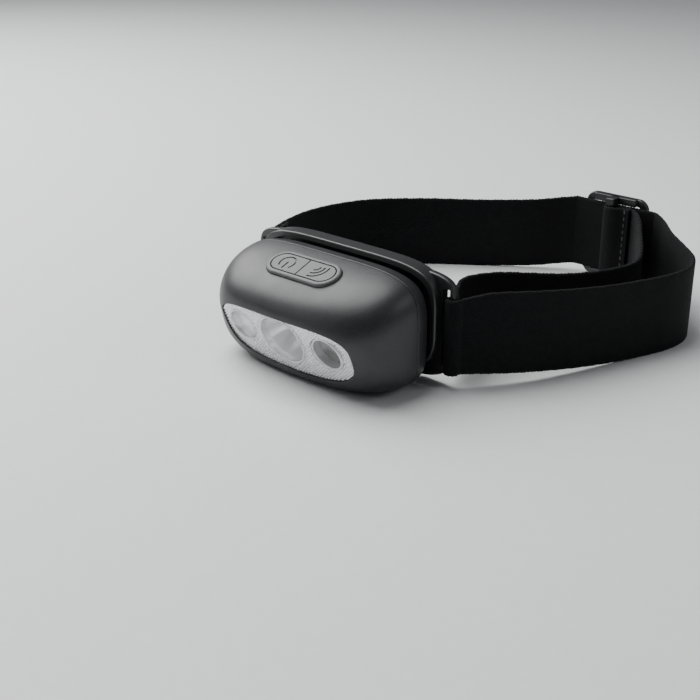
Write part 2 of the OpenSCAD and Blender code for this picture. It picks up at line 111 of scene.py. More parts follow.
def spread(tree, fac, low, high, socket, start=0.3, end=0.7):
    """Drives a shader socket between two values or colours with a 0 to 1 pattern."""
    if isinstance(low, tuple):
        ramp = tree.nodes.new("ShaderNodeValToRGB")
        ramp.color_ramp.elements[0].position, ramp.color_ramp.elements[1].position = start, end
        ramp.color_ramp.elements[0].color = (*low, 1)
        ramp.color_ramp.elements[1].color = (*high, 1)
        tree.links.new(fac, ramp.inputs["Fac"])
        tree.links.new(ramp.outputs["Color"], socket)
        return
    ramp = tree.nodes.new("ShaderNodeMapRange")
    for key, value in (("From Min", start), ("From Max", end), ("To Min", low), ("To Max", high)):
        ramp.inputs[key].default_value = value
    tree.links.new(fac, ramp.inputs["Value"])
    tree.links.new(ramp.outputs["Result"], socket)


table_top, tree, shader, coord = new_material("table_top", (0.78, 0.79, 0.79), 0.6)
spread(tree, grain(tree, coord.outputs["Object"], 0.004, 2), (0.77, 0.78, 0.78),
       (0.79, 0.80, 0.80), shader.inputs["Base Color"])
floor.data.materials.append(table_top)


# ---- Front shell ----
# The front half of the lamp casing: one injection moulding in black ABS with a fine sparked
# texture. It runs from the lens opening back to the parting line and has a hole for the keys.
MM = 0.001  # sizes and places are given in millimetres and built in metres
BODY_W, BODY_H, BODY_MID, BODY_N = 69.8, 35.2, 15.0, 4.6
FOOT_CUT = 0.5  # how far the outline would pass below its flat foot
PARTING_Y, BACK_Y, WALL = 5.2, 11.3, 1.6
LENS_Y, LENS_BOW, LENS_TILT, LENS_Z = -15.0, 0.003, math.radians(22), 13.5
LENS_L, LENS_UP, LENS_DOWN, LENS_N_UP, LENS_N_DOWN = 51.0, 8.3, 10.9, 3.56, 3.1
RIM_GAP, RIM_DEPTH = 0.15, 2.4
FACE_SIDE, FACE_UP, FACE_DOWN = 4.2, 8, 4.2  # how fully the skin swells away from the lens
FACE_BACK, FACE_BACK_ENDS = 0.2, 1.2
FLANK, FLANK_ENDS, FLANK_DROP = 10, 3, 1.4  # how straight it runs into the parting line
RING_POINTS, SKIN_STEPS, INNER_STEPS = 224, 34, 12
PAD_FIT = 0.3
PAD_L, PAD_W, PAD_Y, PAD_Z, PAD_SLOPE = 26.8, 10.6, -5.2, 33.7, math.radians(20)


def raised(value, power):
    """A power that keeps the sign."""
    return math.copysign(abs(value) ** power, value)


def outline(angle, half, up, down, n_up, n_down):
    """A point on a superellipse whose upper and lower halves differ."""
    s, c = math.sin(angle), math.cos(angle)
    n, reach = (n_up, up) if s >= 0 else (n_down, down)
    return half * raised(c, 2 / n), reach * raised(s, 2 / n)


def lens_point(x, t, d):
    """The point x across, t up and d deep behind the bowed, leaning face of the lens."""
    return Vector((x, LENS_Y + LENS_BOW * x * x - t * math.sin(LENS_TILT)
                   + d * math.cos(LENS_TILT),
                   LENS_Z + t * math.cos(LENS_TILT) + d * math.sin(LENS_TILT)))


def lens_outline(angle, grow):
    return outline(angle, LENS_L / 2 + grow, LENS_UP + grow, LENS_DOWN + grow,
                   LENS_N_UP, LENS_N_DOWN)


def body_ring(angle, y, inset):
    x, z = outline(angle, BODY_W / 2 - inset, BODY_H - BODY_MID - inset,
                   BODY_MID + FOOT_CUT - inset, BODY_N, BODY_N)
    return Vector((x, y, max(BODY_MID + z, inset)))


def shell_point(angle, t, inset):
    """A point on the front skin, from the lens rim at t = 0 to the parting line at t = 1."""
    s, c = math.sin(angle), math.cos(angle)
    x, up = lens_outline(angle, RIM_GAP)
    p0 = lens_point(x, up, RIM_DEPTH if inset > 0 else 0)
    p3 = body_ring(angle, PARTING_Y, inset)
    p1 = p0 + Vector((FACE_SIDE * c, FACE_BACK + FACE_BACK_ENDS * abs(c),
                      (FACE_UP if s > 0 else FACE_DOWN) * s))
    p2 = p3 - Vector((0, FLANK + FLANK_ENDS * c * c - inset, FLANK_DROP * s if s > 0 else 0))
    p = (1 - t) ** 3 * p0 + 3 * (1 - t) ** 2 * t * p1 + 3 * (1 - t) * t * t * p2 + t ** 3 * p3
    return Vector((p.x, p.y, max(p.z, inset)))


def even_angles(count, place):
    """Angles whose points, by place(angle), stand evenly along an outline."""
    fine, samples, crowding = [], 1000, 2.3  # crowded where a superellipse moves fastest
    for quarter in range(4):
        for k in range(samples):
            u = (k + 0.5) / samples
            near, far = u ** crowding, (1 - u) ** crowding
            fine.append(math.pi / 2 * (quarter + near / (near + far)))
    points = [place(a) for a in fine]
    run = [0.0]
    for a, b in zip(points, points[1:] + points[:1]):
        run.append(run[-1] + math.dist(a, b))
    chosen, k = [], 0
    for i in range(count):
        while run[k + 1] < run[-1] * (i + 0.5) / count:
            k += 1
        chosen.append(fine[k])
    return chosen


def mesh_object(name, points, faces):
    """A new mesh from points in millimetres."""
    data = bpy.data.meshes.new(name)
    data.from_pydata([tuple(MM * v for v in p) for p in points], [], faces)
    data.validate()
    piece = bpy.data.objects.new(name, data)
    bpy.context.collection.objects.link(piece)
    return piece


def loft(name, rings, closed_tube=False):
    """A skin over rings of points, capped at both ends or joined end to end."""
    n, count = len(rings[0]), len(rings)
    faces = []
    for r in range(count if closed_tube else count - 1):
        a, b = r * n, (r + 1) % count * n
        faces += [(a + i, a + (i + 1) % n, b + (i + 1) % n, b + i) for i in range(n)]
    if not closed_tube:
        faces += [tuple(reversed(range(n))), tuple(range((count - 1) * n, count * n))]
    piece = mesh_object(name, [p for ring in rings for p in ring], faces)
    outward(piece)
    return piece


def only(piece):
    """Makes piece the one selected, active object."""
    if bpy.context.mode != "OBJECT":
        bpy.ops.object.mode_set(mode="OBJECT")
    bpy.ops.object.select_all(action="DESELECT")
    piece.select_set(True)
    bpy.context.view_layer.objects.active = piece


def outward(piece):
    """Turns every face outwards."""
    only(piece)
    bpy.ops.object.mode_set(mode="EDIT")
    bpy.ops.mesh.select_all(action="SELECT")
    bpy.ops.mesh.normals_make_consistent(inside=False)
    bpy.ops.object.mode_set(mode="OBJECT")


def rounded(piece, width, segments=3, angle=40):
    """Rounds the edges sharper than angle."""
    only(piece)
    modifier = piece.modifiers.new("round", "BEVEL")
    modifier.width, modifier.segments = width * MM, segments
    modifier.limit_method, modifier.angle_limit = "ANGLE", math.radians(angle)
    modifier.use_clamp_overlap = False
    bpy.ops.object.modifier_apply(modifier=modifier.name)


def carve(piece, tool, how="DIFFERENCE"):
    """Cuts tool out of piece, or joins or crosses them, and discards the tool."""
    only(piece)
    modifier = piece.modifiers.new("carve", "BOOLEAN")
    modifier.object, modifier.operation, modifier.solver = tool, how, "EXACT"
    bpy.ops.object.modifier_apply(modifier=modifier.name)
    bpy.data.objects.remove(tool)


def smooth(piece, angle=35, weigh=True):
    """Smooth shading that keeps its sharp edges, and keeps broad flat faces flat."""
    only(piece)
    bpy.ops.object.shade_smooth_by_angle(angle=math.radians(angle))
    if weigh:
        modifier = piece.modifiers.new("flat_faces", "WEIGHTED_NORMAL")
        modifier.keep_sharp, modifier.weight = True, 80
        bpy.ops.object.modifier_apply(modifier=modifier.name)


def placed(piece, matrix):
    """Moves a mesh by a matrix whose lengths are millimetres, keeping its object at the origin."""
    move = matrix.copy()
    move.translation = matrix.translation * MM
    piece.data.transform(move)
    return piece


def prism(name, flat, z0, z1):
    """A plate with the given flat outline, extruded upwards in edit mode."""
    piece = mesh_object(name, [(x, y, z0) for x, y in flat], [tuple(range(len(flat)))])
    only(piece)
    bpy.ops.object.mode_set(mode="EDIT")
    bpy.ops.mesh.select_all(action="SELECT")
    bpy.ops.mesh.extrude_region_move(
        TRANSFORM_OT_translate={"value": (0, 0, (z1 - z0) * MM)})
    bpy.ops.object.mode_set(mode="OBJECT")
    outward(piece)
    return piece


def stadium(length, width, steps=28):
    """A flat outline with two straight sides and two half-round ends."""
    r, reach = width / 2, (length - width) / 2
    return [(side * reach + r * math.cos(a), r * math.sin(a))
            for side, start in ((1, -90), (-1, 90))
            for a in (math.radians(start + 180 * k / steps) for k in range(steps + 1))]


def finish_piece(piece, body, material, slot, *nodes):
    """Gives a new piece its material and body and hides the CAD nodes it stands for; slot is not
    used.
    """
    if piece.data.materials:
        piece.data.materials[0] = material
    else:
        piece.data.materials.append(material)
    if nodes:
        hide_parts(*nodes)
    if body:
        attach(piece, body)


def relief(tree, shader, height, depth, strength=1.0):
    """Adds a bump of so many metres, on top of any bump the shader already has."""
    bump = tree.nodes.new("ShaderNodeBump")
    bump.inputs["Strength"].default_value = strength
    bump.inputs["Distance"].default_value = depth
    tree.links.new(height, bump.inputs["Height"])
    if shader.inputs["Normal"].is_linked:
        earlier = shader.inputs["Normal"].links[0].from_socket
        tree.links.new(earlier, bump.inputs["Normal"])
    tree.links.new(bump.outputs["Normal"], shader.inputs["Normal"])


def multiply(tree, a, b):
    """The product of two patterns."""
    node = tree.nodes.new("ShaderNodeMath")
    node.operation = "MULTIPLY"
    tree.links.new(a, node.inputs[0])
    tree.links.new(b, node.inputs[1])
    return node.outputs["Value"]


ON_PAD = Matrix.Translation((0, PAD_Y, PAD_Z)) @ Matrix.Rotation(PAD_SLOPE, 4, "X")
angles = even_angles(RING_POINTS, lambda a: body_ring(a, 0, 0))
outer = [[shell_point(a, k / SKIN_STEPS, 0) for a in angles] for k in range(SKIN_STEPS + 1)]
inner = [[shell_point(a, k / INNER_STEPS, WALL) for a in angles]
         for k in range(INNER_STEPS, -1, -1)]
front_shell = loft("front_casing", outer + inner, closed_tube=True)
rounded(front_shell, 0.32, 3, 50)
carve(front_shell, placed(prism("pad_hole", stadium(PAD_L + PAD_FIT, PAD_W + PAD_FIT), -6, 6),
                          ON_PAD))
smooth(front_shell, 40)

shell_black, tree, shader, coord = new_material("sparked_black_shell", (0.020, 0.021, 0.023),
                                                0.45, Specular_IOR_Level=0.68)
fine = grain(tree, coord.outputs["Object"], 0.0004, 2)
broad = grain(tree, coord.outputs["Object"], 0.009, 2)
spread(tree, fine, (0.007, 0.008, 0.0095), (0.017, 0.0185, 0.0205), shader.inputs["Base Color"])
spread(tree, multiply(tree, fine, broad), 0.38, 0.5, shader.inputs["Roughness"], 0.1, 0.4)
relief(tree, shader, fine, 0.00003, 0.8)
finish_piece(front_shell, "lamp", shell_black, "shell", "front_shell")


# ---- Rear shell ----
# The back half of the casing, moulded in the same ABS. It carries the two hinge knuckles, the
# sunk heads of the four screws and the mouth of the charging port.
HINGE_Y, HINGE_Z, KNUCKLE_R = 12.0, 3.0, 2.6
KNUCKLE_IN, KNUCKLE_MID, KNUCKLE_OUT, PIN_R = 13.0, 19.9, 26.0, 1.0
KNUCKLE_GAP, ROOM_END, ROOM_R, BORE_L = 0.1, 0.3, 0.4, 80
SCREW_XS, SCREW_ZS, SCREW_WELL_R, SCREW_WELL_DEPTH = (-27.5, 27.5), (8.6, 27.0), 2.0, 1.3
PORT_Y, PORT_Z, PORT_W, PORT_T = 7.8, 17.0, 9.0, 3.2
FLAP_X, FLAP_T, FLAP_L, FLAP_W, FLAP_FIT = -34.3, 1.1, 13.0, 4.2, 0.4


def rod(name, start, axis, radius, length, vertices=48):
    """A cylinder from start along axis X, Y or Z."""
    bpy.ops.object.select_all(action="DESELECT")
    bpy.ops.mesh.primitive_cylinder_add(vertices=vertices, radius=radius * MM,
                                        depth=length * MM, location=(0, 0, length * MM / 2))
    piece = bpy.context.active_object
    piece.name = name
    turn = {"X": Matrix.Rotation(math.pi / 2, 4, "Y"), "Y": Matrix.Rotation(-math.pi / 2, 4, "X"),
            "Z": Matrix.Identity(4)}[axis]
    piece.data.transform(piece.matrix_world)
    piece.matrix_world = Matrix.Identity(4)
    return placed(piece, Matrix.Translation(start) @ turn)


def block(name, low, high):
    """A box between two corners."""
    bpy.ops.object.select_all(action="DESELECT")
    bpy.ops.mesh.primitive_cube_add(size=1)
    piece = bpy.context.active_object
    piece.name = name
    size = [b - a for a, b in zip(low, high)]
    middle = [(a + b) / 2 for a, b in zip(low, high)]
    piece.data.transform(Matrix.Diagonal((*(MM * s for s in size), 1)))
    return placed(piece, Matrix.Translation(middle))


back_rings = [(PARTING_Y + 0.05, 0), (PARTING_Y + 1.6, 0.12), (BACK_Y - 2.4, 0.5),
              (BACK_Y - 1.5, 0.78), (BACK_Y - 0.9, 1.1), (BACK_Y - 0.35, 1.62), (BACK_Y, 2.4)]
rear_shell = loft("rear_casing", [[body_ring(a, y, i) for a in angles] for y, i in back_rings])
rounded(rear_shell, 0.3, 3, 30)
hollow = [(PARTING_Y - 1, WALL), (BACK_Y - 2.6, WALL + 0.4), (BACK_Y - WALL, WALL + 1.4)]
carve(rear_shell, loft("hollow", [[body_ring(a, y, i) for a in angles] for y, i in hollow]))
for side in (-1, 1):
    low, high = sorted((side * KNUCKLE_IN, side * (KNUCKLE_MID - KNUCKLE_GAP)))
    knuckle = rod("knuckle", (low, HINGE_Y, HINGE_Z), "X", KNUCKLE_R, high - low)
    carve(knuckle, block("web", (low, BACK_Y - 1.2, HINGE_Z - 2.2),
                         (high, HINGE_Y, HINGE_Z + 2.2)), "UNION")
    carve(rear_shell, knuckle, "UNION")
    low, high = sorted((side * KNUCKLE_MID, side * (KNUCKLE_OUT + ROOM_END)))
    carve(rear_shell, rod("room", (low, HINGE_Y, HINGE_Z), "X", KNUCKLE_R + ROOM_R, high - low))
for x in SCREW_XS:
    for z in SCREW_ZS:
        carve(rear_shell, rod("screw_well", (x, BACK_Y - SCREW_WELL_DEPTH, z), "Y",
                              SCREW_WELL_R, 3))
SIDEWAYS = Matrix.Translation((FLAP_X, PORT_Y, PORT_Z)) @ Matrix.Rotation(math.pi / 2, 4, "Y")
carve(rear_shell, placed(prism("flap_seat", stadium(FLAP_L + FLAP_FIT, FLAP_W + FLAP_FIT),
                               -3, FLAP_T + 0.1), SIDEWAYS))
carve(rear_shell, placed(prism("port_mouth", stadium(PORT_W + 0.4, PORT_T + 0.3), -3, 3),
                         SIDEWAYS))
carve(rear_shell, rod("pin_bore", (-BORE_L / 2, HINGE_Y, HINGE_Z), "X", PIN_R + 0.05,
                      BORE_L, 32))
smooth(rear_shell, 40)
finish_piece(rear_shell, "lamp", shell_black, "shell", "rear_shell")


# ---- Lens ----
# One clear polycarbonate plate, bowed like the face of the lamp and glued in its opening. Fine
# slanting prism ribs, silvered from behind, cover it outside three plain round windows.
RIB_PITCH, RIB_DEPTH, RIB_TURN = 0.74, 0.36, math.radians(45)
LENS_FACE, LENS_BACK = 0.3, 1.8
MAIN_R, SIDE_R, SIDE_X, HOLE_MARGIN = 8.0, 5.0, 17.0, 0.75
PANE_DEPTH, PANE_T, PANE_GAP = 0.7, 0.9, 0.05
BEAMS = ((0, MAIN_R), (-SIDE_X, SIDE_R), (SIDE_X, SIDE_R))

rows, columns, sheet_l = 150, 36, 72  # one row for each rise and fall of the ribs
points = []
for back in (0, 1):
    for r in range(rows + 1):
        u = (r - rows / 2) * RIB_PITCH / 2
        for c in range(columns + 1):
            v = (c - columns / 2) * sheet_l / columns
            d = LENS_BACK if back else LENS_FACE + (RIB_DEPTH if r % 2 else 0)
            points.append((u * math.sin(RIB_TURN) + v * math.cos(RIB_TURN),
                           v * math.sin(RIB_TURN) - u * math.cos(RIB_TURN), d))
wide, layer = columns + 1, (rows + 1) * (columns + 1)
faces = []
for a in (r * wide + c for r in range(rows) for c in range(columns)):
    faces.append((a, a + 1, a + wide + 1, a + wide))
    faces.append((layer + a, layer + a + wide, layer + a + wide + 1, layer + a + 1))
for r in range(rows):
    for a in (r * wide, r * wide + columns):
        faces.append((a, a + wide, layer + a + wide, layer + a))
for c in range(columns):
    for a in (c, rows * wide + c):
        faces.append((a, layer + a, layer + a + 1, a + 1))


def carried_over(material, *nodes):
    """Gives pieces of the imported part, shown as they are, their material."""
    for node in nodes:
        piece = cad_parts[node]
        piece.data.materials.clear()
        piece.data.materials.append(material)


def bow(piece):
    """Bends a flat piece of x, height and depth to the lens face."""
    for vertex in piece.data.vertices:
        vertex.co = lens_point(*(vertex.co / MM)) * MM
    outward(piece)


ribs = mesh_object("ribbed_lens", points, faces)
outward(ribs)
carve(ribs, prism("lens_edge", [lens_outline(a, -0.02) for a in angles], 0, 3), "INTERSECT")
for x, radius in BEAMS:
    carve(ribs, rod("beam_hole", (x, 0, -1), "Z", radius + HOLE_MARGIN, 5, 96))
bow(ribs)
smooth(ribs, 8, weigh=False)
silvered, tree, shader, coord = new_material("silvered_ribs", (0.92, 0.93, 0.94), 0.26,
                                             Metallic=0.6, Coat_Weight=0.4,
                                             Coat_Roughness=0.08)
haze = grain(tree, coord.outputs["Object"], 0.004, 2)
spread(tree, haze, 0.2, 0.28, shader.inputs["Roughness"])
spread(tree, haze, (0.90, 0.91, 0.92), (0.95, 0.96, 0.97), shader.inputs["Base Color"])
finish_piece(ribs, "lamp", silvered, "lens", "lens_cover")

clear, tree, shader, coord = new_material("clear_lens", (1, 1, 1), 0.04, Metallic=1.0)
facing = tree.nodes.new("ShaderNodeLayerWeight")
facing.inputs["Blend"].default_value = 0.5
spread(tree, facing.outputs["Facing"], 0.04, 0.5, shader.inputs["Alpha"], 0.5, 1.0)
spread(tree, grain(tree, coord.outputs["Object"], 0.006, 2), 0.03, 0.07,
       shader.inputs["Roughness"])
clear.surface_render_method = "BLENDED"
for name, (x, radius) in zip(("main_pane", "side_pane", "sensor_pane"), BEAMS):
    pane = rod(name, (x, 0, PANE_DEPTH), "Z", radius - PANE_GAP, PANE_T, 96)
    rounded(pane, 0.1, 2, 50)
    bow(pane)
    smooth(pane, 40)
    finish_piece(pane, "lamp", clear, "lens", "lens_cover")

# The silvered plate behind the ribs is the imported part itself.
plate_silver, tree, shader, coord = new_material("silvered_plate", (0.86, 0.87, 0.88), 0.2,
                                                 Metallic=1.0)
haze = grain(tree, coord.outputs["Object"], 0.0012, 3)
spread(tree, haze, 0.14, 0.34, shader.inputs["Roughness"])
carried_over(plate_silver, "reflector_plate")


# ---- Reflector cups ----
# Two bell-shaped cups, metallised inside. Each has a collar with a rolled lip that stands up
# to the lens face round its window and shows as a bright ring.
CUP_FRONT, CUP_DEPTH, CUP_WALL, CUP_STEPS, BOARD_GAP = 2.6, 8.4, 0.6, 18, 0.1
MAIN_THROAT, SIDE_THROAT, LIP_FROM = 2.4, 2.2, -1.85
COLLAR = [(0.02, -0.1), (0.04, -1.9), (0.12, -2.12), (0.3, -2.24), (0.48, -2.22),
          (0.62, -2.08), (0.7, -1.8), (0.7, 0.4)]


def board_depth(x):
    """How deep the LED board lies behind the lens face at x."""
    return CUP_FRONT + CUP_DEPTH + BOARD_GAP - LENS_BOW * x * x * math.cos(LENS_TILT)


def behind_lens(x):
    """Stands a piece with its Z axis pointing into the lamp from the lens face."""
    return Matrix.Translation(lens_point(x, 0, 0)) @ Matrix.Rotation(LENS_TILT - math.pi / 2,
                                                                     4, "X")


def turned(name, profile, steps=96):
    """A closed profile of radius and height, spun round the Z axis."""
    piece = mesh_object(name, [(r, 0, h) for r, h in profile], [])
    data = piece.data
    data.edges.add(len(profile))
    for k in range(len(profile)):
        data.edges[k].vertices = (k, (k + 1) % len(profile))
    only(piece)
    bpy.ops.object.mode_set(mode="EDIT")
    bpy.ops.mesh.select_all(action="SELECT")
    bpy.ops.mesh.spin(steps=steps, angle=2 * math.pi, center=(0, 0, 0), axis=(0, 0, 1))
    bpy.ops.mesh.select_all(action="SELECT")
    bpy.ops.mesh.remove_doubles(threshold=1e-7)
    bpy.ops.object.mode_set(mode="OBJECT")
    outward(piece)
    return piece


def cup_profile(mouth, throat, depth):
    """From the throat up the bright inside, over the lip and back down the outside."""
    run = [k / CUP_STEPS for k in range(CUP_STEPS, -1, -1)]
    inside = [(math.sqrt(throat ** 2 + (mouth ** 2 - throat ** 2) * (1 - h)), h * depth)
              for h in run]
    lip = [(mouth + a, h) for a, h in COLLAR]
    outside = [(r + CUP_WALL, h) for r, h in reversed(inside[:-3])]
    return inside + lip + outside


cup_bright, tree, shader, coord = new_material("bright_cup", (0.96, 0.97, 0.98), 0.14,
                                               Metallic=0.65)
haze = grain(tree, coord.outputs["Object"], 0.002, 3)
spread(tree, haze, 0.12, 0.2, shader.inputs["Roughness"])
spread(tree, haze, (0.93, 0.94, 0.95), (0.97, 0.98, 0.99), shader.inputs["Base Color"])
lip_white, tree, shader, coord = new_material("bright_lip", (0.95, 0.95, 0.95), 0.35,
                                              Metallic=0.1, Coat_Weight=0.3)
spread(tree, grain(tree, coord.outputs["Object"], 0.002, 2), 0.3, 0.4,
       shader.inputs["Roughness"])


def bright_lip(piece):
    """Gives the rolled lip, while the piece still stands upright, the lighter finish."""
    piece.data.materials.append(None)
    piece.data.materials.append(lip_white)
    for face in piece.data.polygons:
        face.material_index = int(face.center.z < LIP_FROM * MM)


side_depth = board_depth(SIDE_X) - CUP_FRONT - BOARD_GAP
for name, x, mouth, throat, depth, node in (
        ("main_cup", 0, MAIN_R, MAIN_THROAT, CUP_DEPTH, "main_reflector"),
        ("side_cup", -SIDE_X, SIDE_R, SIDE_THROAT, side_depth, "side_reflector")):
    cup = turned(name, cup_profile(mouth, throat, depth))
    bright_lip(cup)
    placed(cup, behind_lens(x) @ Matrix.Translation((0, 0, CUP_FRONT)))
    smooth(cup, 50)
    finish_piece(cup, "lamp", cup_bright, "mirror_coat", node)


# ---- Sensor window and its holder ----
# A flat smoked acrylic disc that passes infra-red light, pressed into a black moulded well with
# the same bright lip as the cups, and a wall down the middle of the well.
WALL_HALF, WALL_FROM, WINDOW_DEPTH, WINDOW_T = 0.4, 2.4, 0.4, 1.2

ring_profile = [(SIDE_R, side_depth), (SIDE_R, 0.2)]
ring_profile += [(SIDE_R + a, h) for a, h in COLLAR]
ring_profile += [(SIDE_R + CUP_WALL, 0.8), (SIDE_R + CUP_WALL, side_depth)]
holder = turned("sensor_well", ring_profile)
carve(holder, block("wall", (-WALL_HALF, -SIDE_R - 0.2, WALL_FROM),
                    (WALL_HALF, SIDE_R + 0.2, side_depth)), "UNION")
bright_lip(holder)
placed(holder, behind_lens(SIDE_X) @ Matrix.Translation((0, 0, CUP_FRONT)))
smooth(holder, 50)
finish_piece(holder, "lamp", cup_bright, "inner_plastic", "sensor_holder")

window = rod("smoked_window", (0, 0, WINDOW_DEPTH), "Z", SIDE_R - PANE_GAP, WINDOW_T, 96)
rounded(window, 0.2, 3, 50)
placed(window, behind_lens(SIDE_X) @ Matrix.Translation((0, 0, CUP_FRONT)))
smooth(window, 40)
smoked, tree, shader, coord = new_material("smoked_acrylic", (0.13, 0.14, 0.14), 0.3,
                                           Coat_Weight=0.5, Coat_Roughness=0.1)
cloudy = grain(tree, coord.outputs["Object"], 0.0009, 3)
spread(tree, cloudy, (0.115, 0.12, 0.12), (0.14, 0.145, 0.145), shader.inputs["Base Color"])
spread(tree, cloudy, 0.3, 0.36, shader.inputs["Roughness"])
finish_piece(window, "lamp", smoked, "tinted_window", "sensor_window")


# ---- Light sources and infra-red parts ----
# Phosphor-coated white LEDs on square carriers, and the two domed infra-red parts, one clear
# and one black, all soldered to the LED board behind the lens.
phosphor, tree, shader, coord = new_material("led_phosphor", (0.95, 0.86, 0.42), 0.3,
                                             Coat_Weight=0.6)
spread(tree, grain(tree, coord.outputs["Object"], 0.0004, 2), (0.93, 0.80, 0.32),
       (0.97, 0.90, 0.55), shader.inputs["Base Color"])
carried_over(phosphor, "main_led", "side_led")
ir_clear, tree, shader, coord = new_material("clear_epoxy", (0.62, 0.66, 0.74), 0.12,
                                             Coat_Weight=0.6)
spread(tree, grain(tree, coord.outputs["Object"], 0.0008, 2), 0.08, 0.2,
       shader.inputs["Roughness"])
carried_over(ir_clear, "ir_emitter")
ir_black, tree, shader, coord = new_material("black_epoxy", (0.015, 0.015, 0.02), 0.18,
                                             Coat_Weight=0.4)
spread(tree, grain(tree, coord.outputs["Object"], 0.0008, 2), 0.12, 0.3,
       shader.inputs["Roughness"])
carried_over(ir_black, "ir_receiver")


# ---- Circuit boards, switches, cell and wiring ----
# Green fibreglass boards, tinned metal parts, a foil-wrapped lithium cell and its two wires,
# all inside the casing.
BETWEEN_WIRES = -0.002

board_green, tree, shader, coord = new_material("solder_mask", (0.02, 0.13, 0.05), 0.35)
traces = tree.nodes.new("ShaderNodeTexBrick")
traces.inputs["Scale"].default_value = 260
for socket, colour in (("Color1", (0.02, 0.14, 0.06, 1)), ("Color2", (0.015, 0.10, 0.045, 1)),
                       ("Mortar", (0.03, 0.20, 0.09, 1))):
    traces.inputs[socket].default_value = colour
tree.links.new(coord.outputs["Object"], traces.inputs["Vector"])
tree.links.new(traces.outputs["Color"], shader.inputs["Base Color"])
relief(tree, shader, traces.outputs["Fac"], 0.00004)
carried_over(board_green, "led_board", "main_board", "charge_board")

tinned, tree, shader, coord = new_material("tinned_metal", (0.7, 0.7, 0.68), 0.35, Metallic=1.0)
spread(tree, grain(tree, coord.outputs["Object"], 0.0007, 4), 0.25, 0.5,
       shader.inputs["Roughness"])
carried_over(tinned, "tact_switches", "usb_socket")
white_pin, tree, shader, coord = new_material("white_nylon", (0.75, 0.75, 0.73), 0.45)
spread(tree, grain(tree, coord.outputs["Object"], 0.001, 3), (0.70, 0.70, 0.68),
       (0.80, 0.80, 0.78), shader.inputs["Base Color"])
carried_over(white_pin, "power_plunger", "sensor_plunger")
foil, tree, shader, coord = new_material("cell_wrap", (0.45, 0.47, 0.5), 0.4, Metallic=0.85)
creases = grain(tree, coord.outputs["Object"], 0.004, 6)
spread(tree, creases, 0.28, 0.55, shader.inputs["Roughness"])
relief(tree, shader, creases, 0.0002)
carried_over(foil, "battery_cell")
wire, tree, shader, coord = new_material("wire_cover", (0.3, 0.02, 0.02), 0.4)
split = tree.nodes.new("ShaderNodeSeparateXYZ")
tree.links.new(coord.outputs["Object"], split.inputs["Vector"])
second_wire = tree.nodes.new("ShaderNodeMath")  # red on one side of the line, black on the other
second_wire.operation, second_wire.inputs[1].default_value = "GREATER_THAN", BETWEEN_WIRES
tree.links.new(split.outputs["X"], second_wire.inputs[0])
spread(tree, second_wire.outputs["Value"], (0.42, 0.02, 0.015), (0.015, 0.015, 0.016),
       shader.inputs["Base Color"], 0.0, 1.0)
carried_over(wire, "battery_leads")

steel, tree, shader, coord = new_material("plated_steel", (0.62, 0.62, 0.63), 0.3, Metallic=1.0)
scuffs = grain(tree, coord.outputs["Object"], 0.0006, 5)
spread(tree, scuffs, 0.22, 0.5, shader.inputs["Roughness"])
spread(tree, scuffs, (0.5, 0.5, 0.51), (0.7, 0.7, 0.71), shader.inputs["Base Color"])
carried_over(steel, "case_screws")

seal_grey, tree, shader, coord = new_material("silicone_seal", (0.09, 0.09, 0.095), 0.6)
spread(tree, grain(tree, coord.outputs["Object"], 0.0006, 3), (0.075, 0.075, 0.08),
       (0.11, 0.11, 0.115), shader.inputs["Base Color"])
carried_over(seal_grey, "case_seal")


# ---- Key pad ----
# A raised stadium of soft grey rubber pushed up through the hole in the front shell. Its two
# keys are halves of one inner stadium, each engraved with a plain symbol.
PAD_DEEP, FOOT_DEEP, FOOT_OUT = 3.2, 3.9, 1.2
KEY_MARGIN, KEY_GAP, KEY_H = 1.4, 0.25, 2.6
ENGRAVED, LINE_W, POWER_X, WAVE_X = 0.4, 0.52, -6.2, 4.0

pad = prism("pad_rim", stadium(PAD_L, PAD_W), -PAD_DEEP, 0)
rounded(pad, 0.75, 4, 50)
foot = prism("pad_foot", stadium(PAD_L + 2 * FOOT_OUT, PAD_W + 2 * FOOT_OUT),
             -FOOT_DEEP, -PAD_DEEP + 0.02)
carve(pad, foot, "UNION")
carve(pad, prism("pad_opening", stadium(PAD_L - 2 * KEY_MARGIN, PAD_W - 2 * KEY_MARGIN), -5, 1))
rounded(pad, 0.2, 3, 60)
placed(pad, ON_PAD)
smooth(pad, 40)

rubber, tree, shader, coord = new_material("grey_rubber", (0.10, 0.105, 0.105), 0.55,
                                           Specular_IOR_Level=0.7)
dust = grain(tree, coord.outputs["Object"], 0.0003, 3)
spread(tree, dust, (0.085, 0.088, 0.088), (0.115, 0.12, 0.12), shader.inputs["Base Color"])
spread(tree, dust, 0.48, 0.6, shader.inputs["Roughness"])
relief(tree, shader, dust, 0.00002, 0.7)
finish_piece(pad, "lamp", rubber, "pad_rubber", "button_pad")


def groove(points):
    """A cutter that follows a flat line across the top of a key."""
    left, right = [], []
    for k, p in enumerate(points):
        a, b = points[max(k - 1, 0)], points[min(k + 1, len(points) - 1)]
        along = Vector((b[0] - a[0], b[1] - a[1])).normalized() * LINE_W / 2
        left.append((p[0] - along.y, p[1] + along.x))
        right.append((p[0] + along.y, p[1] - along.x))
    return prism("groove", left + right[::-1], -ENGRAVED, 1)


def arc(cx, cy, radius, start, end, steps):
    """Points along a flat arc, its angles in degrees."""
    return [(cx + radius * math.cos(math.radians(start + (end - start) * k / steps)),
             cy + radius * math.sin(math.radians(start + (end - start) * k / steps)))
            for k in range(steps + 1)]


